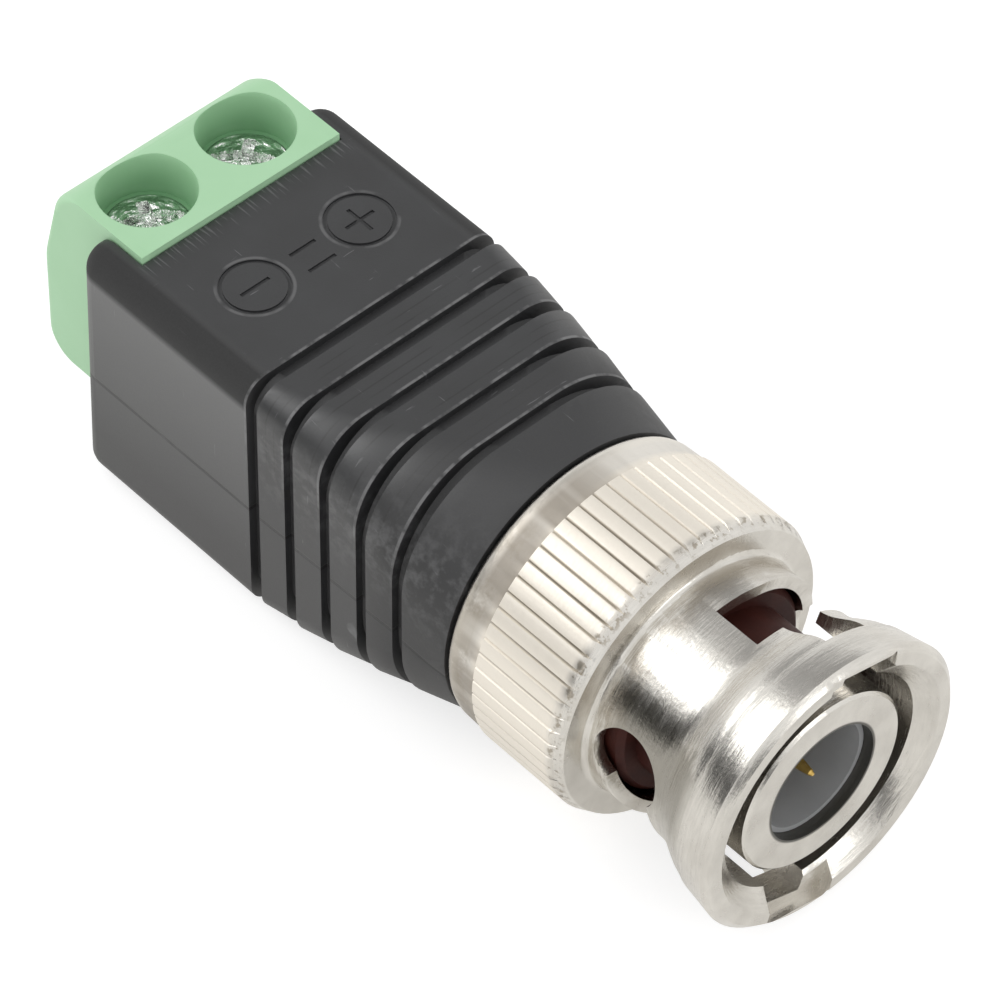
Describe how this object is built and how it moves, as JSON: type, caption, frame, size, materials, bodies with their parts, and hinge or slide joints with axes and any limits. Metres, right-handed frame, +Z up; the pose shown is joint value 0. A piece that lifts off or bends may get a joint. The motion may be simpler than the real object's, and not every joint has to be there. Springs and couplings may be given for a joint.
{
  "type": "bnc screw terminal adapter",
  "caption": "Male BNC plug with a turning bayonet nut, a ribbed split shell and a block of rising-clamp screw terminals on its back.",
  "frame": {"origin": "centre of the outer contact's mouth, on the plug's axis", "axes": "+X along the plug's axis out of its mouth, +Y across the terminals towards the positive pole's side, +Z up out of the terminal screws"},
  "size_m": [0.0396, 0.0134, 0.0134],
  "materials": {
    "nickel": "bright nickel plate over turned brass, with fine turning lines",
    "insulator": "plain mid grey moulding",
    "gold": "gold plated, turned",
    "seal": "dark red-brown silicone",
    "spring_steel": "plain spring steel",
    "shell": "black moulding with a fine satin grain",
    "block": "light green moulding, satin",
    "screw_steel": "zinc plated",
    "cage_metal": "nickel plated",
    "bar_metal": "tin plated",
    "lead_sheath": "plain sheath on tinned copper"
  },
  "bodies": {
    "connector": {"bnc_body": "nickel", "front_insulator": "insulator", "rear_insulator": "insulator", "centre_pin": "gold", "seal_sleeve": "seal", "wave_washer_front": "spring_steel", "wave_washer_rear": "spring_steel", "retaining_ring": "spring_steel", "shell_upper": "shell", "shell_lower": "shell", "terminal_housing": "block", "contact_bar_left": "bar_metal", "contact_bar_right": "bar_metal", "ground_lug": "bar_metal", "signal_lead": "lead_sheath", "ground_lead": "lead_sheath"},
    "thrust_ring": {"thrust_washer": "spring_steel"},
    "nut": {"coupling_nut": "nickel"},
    "screw_left": {"terminal_screw_left": "screw_steel"},
    "screw_right": {"terminal_screw_right": "screw_steel"},
    "cage_left": {"clamp_cage_left": "cage_metal"},
    "cage_right": {"clamp_cage_right": "cage_metal"}
  },
  "joints": [
    {"name": "nut_travel", "type": "slide", "parent": "connector", "child": "thrust_ring", "axis": [1, 0, 0], "range_m": [0, 0.0008], "stiffness_N_per_m": 200, "springref_m": -0.001, "deforming": ["wave_washer_front", "wave_washer_rear"]},
    {"name": "nut_turn", "type": "hinge", "parent": "thrust_ring", "child": "nut", "pos_m": [0, 0, 0], "axis": [1, 0, 0], "continuous": true},
    {"name": "screw_left_turn", "type": "hinge", "parent": "connector", "child": "screw_left", "pos_m": [-0.0354, -0.00254, 0], "axis": [0, 0, 1], "range_deg": [-1160, 0]},
    {"name": "screw_right_turn", "type": "hinge", "parent": "connector", "child": "screw_right", "pos_m": [-0.0354, 0.00254, 0], "axis": [0, 0, 1], "range_deg": [-1160, 0]},
    {"name": "cage_left_rise", "type": "slide", "parent": "connector", "child": "cage_left", "axis": [0, 0, 1], "range_m": [0, 0.00145]},
    {"name": "cage_right_rise", "type": "slide", "parent": "connector", "child": "cage_right", "axis": [0, 0, 1], "range_m": [0, 0.00145]}
  ],
  "couplings": [
    {"joint": "screw_left_turn", "follows": "cage_left_rise", "rad_per_m": -13963},
    {"joint": "screw_right_turn", "follows": "cage_right_rise", "rad_per_m": -13963}
  ]
}
